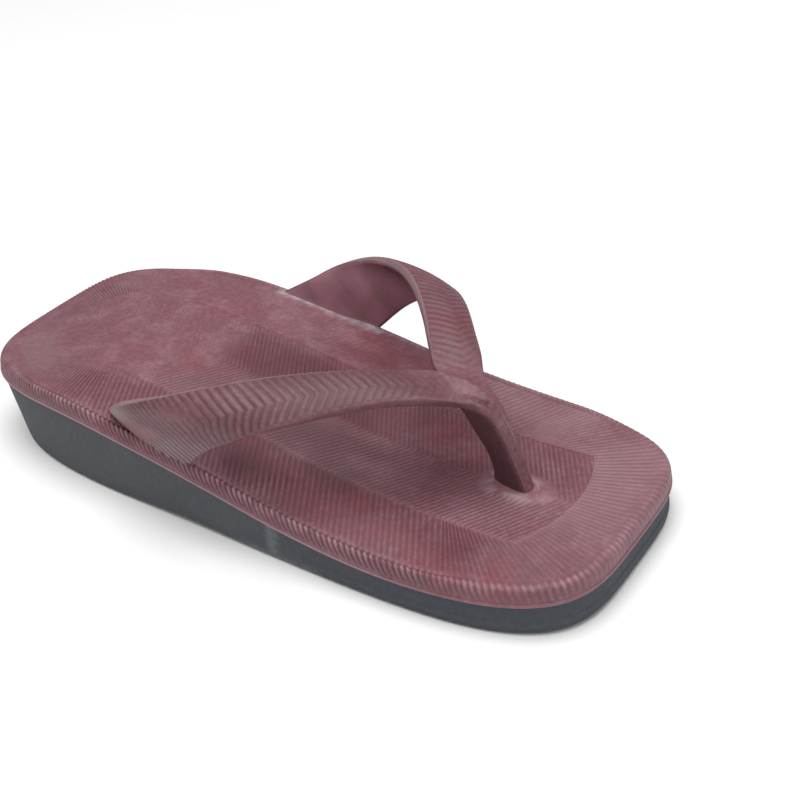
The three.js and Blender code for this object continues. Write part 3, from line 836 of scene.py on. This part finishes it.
vStrap = {
    "reach": 108.0, "span": 106.0, "rise": 36.0, "behind": 47.7, "postX": 89.2, "sink": 5.0,
    "thickness": 3.2, "rootThin": [0.3, 0.7, 0.9, 1.0],     # thickness, and its shares at the root's rows
    # rear edge x, y, z and front edge x, y, z along the arm, as shares of reach, half span and rise
    "arm": [(0.0, 0.907, 0.43, 0.39, 0.998, 0.26), (0.095, 1.04, 0.66, 0.502, 1.045, 0.55),
            (0.2, 1.1, 0.845, 0.605, 1.058, 0.745), (0.32, 1.09, 1.0, 0.676, 1.04, 0.872),
            (0.438, 1.02, 1.12, 0.736, 0.985, 0.955), (0.552, 0.895, 1.2, 0.796, 0.9, 1.01),
            (0.656, 0.738, 1.236, 0.861, 0.775, 1.05), (0.752, 0.56, 1.228, 0.931, 0.623, 1.073),
            (0.842, 0.372, 1.186, 1.004, 0.458, 1.068), (0.927, 0.181, 1.113, 1.077, 0.298, 1.028)],
    # past the crotch, in mm: seam on the front face x, z; front corner x, y, z;
    # side corner x, y, z; rear line x, z
    "post": [(62.5, 54.0, 75.0, 8.6, 50.6, 72.6, 8.0, 47.4, 61.5, 49.4),
             (72.0, 53.6, 80.2, 4.8, 48.4, 79.0, 5.4, 46.2, 66.4, 45.4),
             (80.0, 50.2, 83.8, 3.2, 45.4, 83.6, 4.1, 43.6, 70.4, 40.6),
             (85.2, 43.4, 86.4, 2.4, 39.0, 86.5, 3.3, 37.8, 74.0, 34.4),
             (88.9, 35.0, 88.9, 2.1, 31.6, 89.1, 2.9, 30.8, 77.9, 28.4),
             (92.1, 26.4, 91.5, 2.0, 24.4, 91.6, 2.8, 24.0, 80.1, 22.4),
             (94.8, 18.0, 94.2, 2.0, 17.2, 94.2, 2.7, 16.6, 80.3, 15.8)],
    # how far the meeting line of both halves lies toward the near side, by row, and the far root's own place
    "shiftRows": [0, 6, 9, 10, 11, 12, 13, 16], "shift": [0, -0.3, -1.6, -2.0, -1.8, -1.4, -1.0, -0.5],
    "farRoot": [(-3.6, 4.2, 0.2, 0.0, 0.8, -0.4), (-0.8, 0.5, -1.0, 0.0, 0.5, 0.0),
                (0.0, 0.0, -0.5, 0.0, 0.0, 0.0)],
    "creases": [(75.0, -4.4, 76.0, -4.0, 0.6, 0.4), (77.6, -3.6, 78.6, -3.1, 0.6, 0.45),
                (80.0, -3.0, 81.8, -1.6, 0.6, 0.6), (82.0, -2.4, 83.0, -2.0, 0.5, 0.4),
                (78.5, -6.0, 80.0, -4.0, 0.4, 0.2)],
    "along": 372, "samples": [58, 5, 20, 5], "cornerSamples": 5,      # top, front, underside, rear
    "cornerRound": 1.15, "joinedRound": 0.25, "cornerLimit": 0.42,
    # swells: the top face, more at the root, the underside as a share of it, the post's sides
    "crown": 1.6, "rootCrown": 0.45, "underCrown": 0.6, "postSwell": 0.9,
    "ribPitch": 3.05, "chevron": 0.58, "rootSkew": 0.36, "tipPlace": 0.62, "ribHeight": 0.2,
    # how much darker the arms are toward the front, by row
    "shadeRows": [4.5, 6.5, 9, 10.5], "shade": [0, 1, 1, 0], "nearShade": 0.42, "farShade": 0.2,
    "look": dict(deckVinyl["look"], base=(0.185, 0.08, 0.095), warm=(0.21, 0.07, 0.086),
                 haze=(0.235, 0.127, 0.146), cloudSize=34.0, hazeShare=0.5, valleyShade=(0.085, 0.034, 0.045),
                 wearAndSheen=(0.33, 0.26, 0.265), wearAndSheenShare=0.6, paintedShade=(0.075, 0.03, 0.036),
                 # a paler pink for the painted light on the far arm's inner face
                 glueAndPaintedLight=(0.36, 0.165, 0.205)),
}


def strapLines(hand):
    # the four long edges of a half: rear top, front top, front under, rear under
    s = vStrap
    arm = np.array(s["arm"])
    size = np.array([s["reach"], s["span"] / 2, s["rise"]])
    base = np.array([-s["behind"], 0, fieldHeight(s["postX"])])
    rear, front = arm[:, 0:3] * size + base, arm[:, 3:6] * size + base
    if hand > 0:
        moved = np.array(s["farRoot"])
        rear[:len(moved)] += moved[:, 0:3]
        front[:len(moved)] += moved[:, 3:6]
    out = unit(np.cross(unit(np.gradient(rear + front, axis=0)), unit(front - rear)))
    # the strap thins toward its root, where it runs out on the deck
    thin = s["rootThin"]
    thick = s["thickness"] * np.interp(np.arange(len(arm)), np.arange(len(thin)), thin)[:, None]
    post = np.array(s["post"])
    zero = np.zeros(len(post))
    return [np.concatenate([rear, np.column_stack([post[:, 0], zero, post[:, 1]])]),
            np.concatenate([front, post[:, 2:5]]),
            np.concatenate([front - out * thick, post[:, 5:8]]),
            np.concatenate([rear - out * thick, np.column_stack([post[:, 8], zero, post[:, 9]])])]


def strapEdges(hand):
    # the long edges at every ring, with the ring's way along the half in mm and its place among the rows
    lines, armRows = strapLines(hand), len(vStrap["arm"])
    mid = (lines[0] + lines[1]) / 2
    knots = np.append(0, np.cumsum(np.linalg.norm(np.diff(mid, axis=0), axis=1)))
    at = np.linspace(0, knots[-1], vStrap["along"])
    edges = [np.stack([readTable(knots, line[:, k], at) for k in range(3)], -1) for line in lines]
    for q in (edges[0], edges[3]):
        q[:, 1] = np.where(at >= knots[armRows], 0, np.maximum(q[:, 1], 0))
    station = np.interp(at, knots, np.arange(len(knots)))
    return edges, at[:, None], station[:, None]


def strapRings(edges, armShare):
    # each ring joins four corners: top face, front band, underside, rear band, with rounded corners;
    # place is the share of the way across a face, and kind the face's number, with a half at its far corner
    s = vStrap
    # corners are round along the arm, and nearly sharp where both halves meet
    joined = s["joinedRound"] + (s["cornerRound"] - s["joinedRound"]) * armShare
    even = np.full(armShare.shape, s["cornerRound"])
    rounds, limit = [joined, even, even, joined], s["cornerLimit"]
    rings, place, kind = [], [], []
    for face in range(4):
        a, b, c = (edges[(face + k) % 4] for k in range(3))
        ab = np.linalg.norm(b - a, axis=1, keepdims=True)
        bc = np.linalg.norm(c - b, axis=1, keepdims=True)
        wayAB, wayBC = (b - a) / np.maximum(ab, 1e-6), (c - b) / np.maximum(bc, 1e-6)
        cut, after = np.minimum(rounds[face], limit * ab), rounds[(face + 1) % 4]
        endCut, nextCut = np.minimum(after, limit * ab), np.minimum(after, limit * bc)
        for share in np.linspace(0, 1, s["samples"][face]):
            run = cut + (ab - cut - endCut) * share
            rings.append(a + wayAB * run)
            place.append((run / np.maximum(ab, 1e-6))[:, 0])
            kind.append(face)
        for turn in np.linspace(0, 1, s["cornerSamples"] + 2)[1:-1]:
            rings.append((1 - turn) ** 2 * (b - wayAB * endCut) + 2 * turn * (1 - turn) * b
                         + turn**2 * (b + wayBC * nextCut))
            place.append(np.full(len(a), 1.0 if face == 0 else 0.0))
            kind.append(face + 0.5)
    return np.array(rings).transpose(1, 0, 2), np.array(place).T, np.array(kind)[None]


def chevronWave(edges, at, station, place):
    # a point's way along and across the arm's middle line, with the ribs' tips toward the toe on that line;
    # near the root the whole pattern leans over
    s = vStrap
    across = edges[1] - edges[0]
    along = unit(np.gradient((edges[0] + edges[1]) / 2, axis=0))
    lag = (across * along).sum(1, keepdims=True)
    width = np.linalg.norm(across, axis=1, keepdims=True)
    off = (place - s["tipPlace"]) * np.sqrt(np.maximum(width**2 - lag**2, 1.0))
    skew = s["rootSkew"] * (1 - smoothStep(2.5, 5.5, station))
    # behind the middle line the chevron is lost at the root: ribs run straight from edge to edge there
    skew = skew - 0.9 * (1 - smoothStep(1.2, 4.2, station)) * smoothStep(-1.0, 3.0, -off)
    travel = at + (place - 0.5) * lag + s["chevron"] * np.abs(off) - skew * off
    return 1 - (1 - ribWave(travel / s["ribPitch"])) ** 1.3


def strapStrength(p, at, station, place, worn):
    # how high the chevrons stand: none at the edges, lower toward the post and where worn
    s = vStrap
    fade = 1 - 0.75 * smoothStep(5.5, len(s["arm"]) + 1.0, station)
    patch = np.exp(-(((at - 38) / 9) ** 2) - ((place - 0.34) / 0.18) ** 2)
    fade = fade * (1 - np.clip(worn + 0.9 * patch, 0, 0.95) * (0.9 + 0.1 * waveNoise(p, 12, 13)))
    # the ribs are strongest at the root's front corner
    fade = fade * (1 + 0.35 * (1 - smoothStep(14, 26, at)) * smoothStep(0.55, 0.7, place))
    edgeFade = smoothStep(0.0, 0.03, place) * (1 - smoothStep(0.97, 1.0, place))
    return edgeFade * fade * (1 + 0.12 * waveNoise(p, 24, 7))


def strapWearAndLight(p, far, at, station, place, kind, armShare, wave):
    # pale ridges at the root's front corner and rear tip, a painted highlight along the rounded rear edge,
    # and glue at the foot of the far arm's inner face
    tip = (1 - smoothStep(16, 32, at)) * (1 - smoothStep(0.04, 0.3, place))
    corner = (1 - smoothStep(14, 28, at)) * smoothStep(0.5, 0.7, place)
    wearAndSheen = (kind == 0) * np.maximum(0.9 * tip, corner * wave**2) + 0.5 * (kind >= 3) * armShare
    glue = (kind == 2) * far * (1 - smoothStep(0.8, 2.6, at)) * (0.75 + 0.25 * waveNoise(p, 5, 14))
    lower = 1 - smoothStep(1.0, 4.5, station)
    wearAndSheen = np.maximum(wearAndSheen, glue) + (kind == 2) * far * 0.3 * lower**2 * smoothStep(0.5, 1, place)
    # painted light: the inner face of the far arm is paler, most of all low down at the rear
    inner = (kind == 2) * far * lower * (0.75 + 0.3 * smoothStep(0.2, 0.8, place) * lower)
    return {"wearAndSheen": np.clip(wearAndSheen, 0, 1), "glueAndPaintedLight": np.clip(inner * (0.85 + 0.35 * waveNoise(p, 18, 12)), 0, 1)}


def strapTone(p, far, station, place, kind, armShare, worn):
    # painted shade: the post's sides and the front band, which lie in shade under the arms, and the arms' top
    # face toward the front
    s = vStrap
    paintedShade = 0.75 * (kind == 2) * (1 - armShare) + 0.25 * (kind >= 0.5) * (kind < 2)
    shade = s["farShade"] if far else s["nearShade"]
    paintedShade = paintedShade + (kind == 0) * shade * np.interp(station, s["shadeRows"], s["shade"])
    # painted shadow: the far arm's inner face is darker below its crest
    crest = np.exp(-(((station - 4.4) / 1.4) ** 2)) * smoothStep(0.45, 0.95, place)
    paintedShade = paintedShade + 0.6 * crest * (kind == 2) * far
    warmth = (0.6 * far + 0.9 * worn * (not far)) * (kind == 0)
    warmth = warmth + 0.8 * (kind == 2) * far * waveNoise(p, 16, 15)
    return {"paintedShade": np.clip(paintedShade, 0, 1) * np.ones_like(place), "warmth": warmth}


def padded(a):
    # the first and the last row once more, for the feet that sink into the deck
    return np.concatenate([a[:1], a, a[-1:]])


def makeHalf(hand):
    # the far half for hand 1 and the near one for hand -1; the top face is crowned and carries chevron ribs
    # whose height fades toward the toe post
    s = vStrap
    edges, at, station = strapEdges(hand)
    armRows = len(s["arm"])
    armShare = 1 - smoothStep(armRows - 2.2, armRows + 0.5, station)
    p, place, kind = strapRings(edges, armShare)
    facing = {"spot": (60, 20), "way": (0, 0.4, 1), "closeColumns": True}
    # the crown is fuller at the root, and the post's sides swell a little
    bow = 1 - (2 * place - 1) ** 2
    full = 1 + s["rootCrown"] * (1 - smoothStep(0, 20, at))
    crown = s["crown"] * armShare * full * bow * (kind == 0)
    crown += (s["underCrown"] * s["crown"] * armShare + s["postSwell"] * (1 - armShare)) * bow * (kind == 2)
    p = p + gridNormals(p, **facing) * crown[..., None]
    # the base behind the middle line is worn smooth
    worn = 0.95 * (1 - smoothStep(15, 21, at)) * smoothStep(0.1, 0.2, place) * (1 - smoothStep(0.5, 0.6, place))
    wave = chevronWave(edges, at, station, place)
    strength = (kind == 0) * strapStrength(p, at, station, place, worn)
    pressed = np.zeros(p.shape[:2])
    if hand < 0:
        # creases on the near side, where both arms meet
        pressed = creaseDepth(p * (1, -1, 1), s["creases"]) * (p[..., 2] > 40) * (kind < 2)
    p = p + gridNormals(p, **facing) * (2 * s["ribHeight"] * strength * (wave - 1) - pressed)[..., None]
    # painted shade in the chevrons' valleys and in the creases
    values = {"valleyShade": np.clip(strength * (1 - wave) + 1.6 * pressed, 0, 1),
              **strapWearAndLight(p, hand > 0, at, station, place, kind, armShare, wave),
              **strapTone(p, hand > 0, station, place, kind, armShare, worn)}
    # a foot of straight rings sinks into the deck at both ends
    p = padded(p)
    p[[0, -1], :, 2] -= s["sink"]
    p[..., 1] *= hand
    p[..., 1] += padded(readTable(s["shiftRows"], s["shift"], station))
    rows, columns = p.shape[:2]
    quads = gridFaces(rows, columns, closeColumns=True)
    caps = [np.arange(columns)[::-1], np.arange(columns) + (rows - 1) * columns]
    if hand > 0:
        quads, caps = quads[:, ::-1], [c[::-1] for c in caps]
    return p, quads, {key: padded(numbers) for key, numbers in values.items()}, caps


strap = joinParts("vStrap", [makeHalf(1), makeHalf(-1)])
strap.data.materials.append(makeVinyl("strapBurgundy", vStrap["look"]))
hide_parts("v_strap")
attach(strap, "root")


# Floor, light and tone

studio = {
    "floorHalf": 4.0, "floorTones": ((0.9, 0.9, 0.9), (0.93, 0.93, 0.93)), "floorRough": 0.9,
    # name, place, aim, size (m), power (W)
    "lamps": [("overhead", (0.0, 0.0, 2.6), (0, 0, 0), 2.6, 70),
              ("nearHigh", (0.1, -1.0, 1.1), (0, 0, 0.02), 0.8, 2.5),
              ("toeHigh", (1.2, 0.0, 1.0), (0, 0, 0.02), 0.8, 4)],
    "worldStrength": 0.26,
}


def addFloor():
    # a pale sheet with a faint unevenness of tone
    mesh = bpy.data.meshes.new("floor")
    r = studio["floorHalf"]
    mesh.from_pydata([(-r, -r, 0), (r, -r, 0), (r, r, 0), (-r, r, 0)], [], [(0, 1, 2, 3)])
    floor = bpy.data.objects.new("floor", mesh)
    scene.collection.objects.link(floor)
    material, tree, shader, place = newMaterial("paleFloor")
    colour = addBlend(tree, addNoise(tree, place, 3, 2), *studio["floorTones"])
    tree.links.new(colour, shader.inputs["Base Color"])
    shader.inputs["Roughness"].default_value = studio["floorRough"]
    mesh.materials.append(material)


def addLight(name, place, aim, size, power):
    # a round lamp turned toward its aim
    data = bpy.data.lights.new(name, "AREA")
    data.shape, data.size, data.energy = "DISK", size, power
    lamp = bpy.data.objects.new(name, data)
    lamp.location = place
    lamp.rotation_euler = (Vector(aim) - Vector(place)).to_track_quat("-Z", "Y").to_euler()
    scene.collection.objects.link(lamp)


addFloor()
for lamp in studio["lamps"]:
    addLight(*lamp)
world = bpy.data.worlds.new("studio")
world.use_nodes = True
world.node_tree.nodes["Background"].inputs["Color"].default_value = (1, 1, 1, 1)
world.node_tree.nodes["Background"].inputs["Strength"].default_value = studio["worldStrength"]
scene.world = world
scene.view_settings.view_transform = "Standard"
print("placed the floor and", len(studio["lamps"]), "lamps")
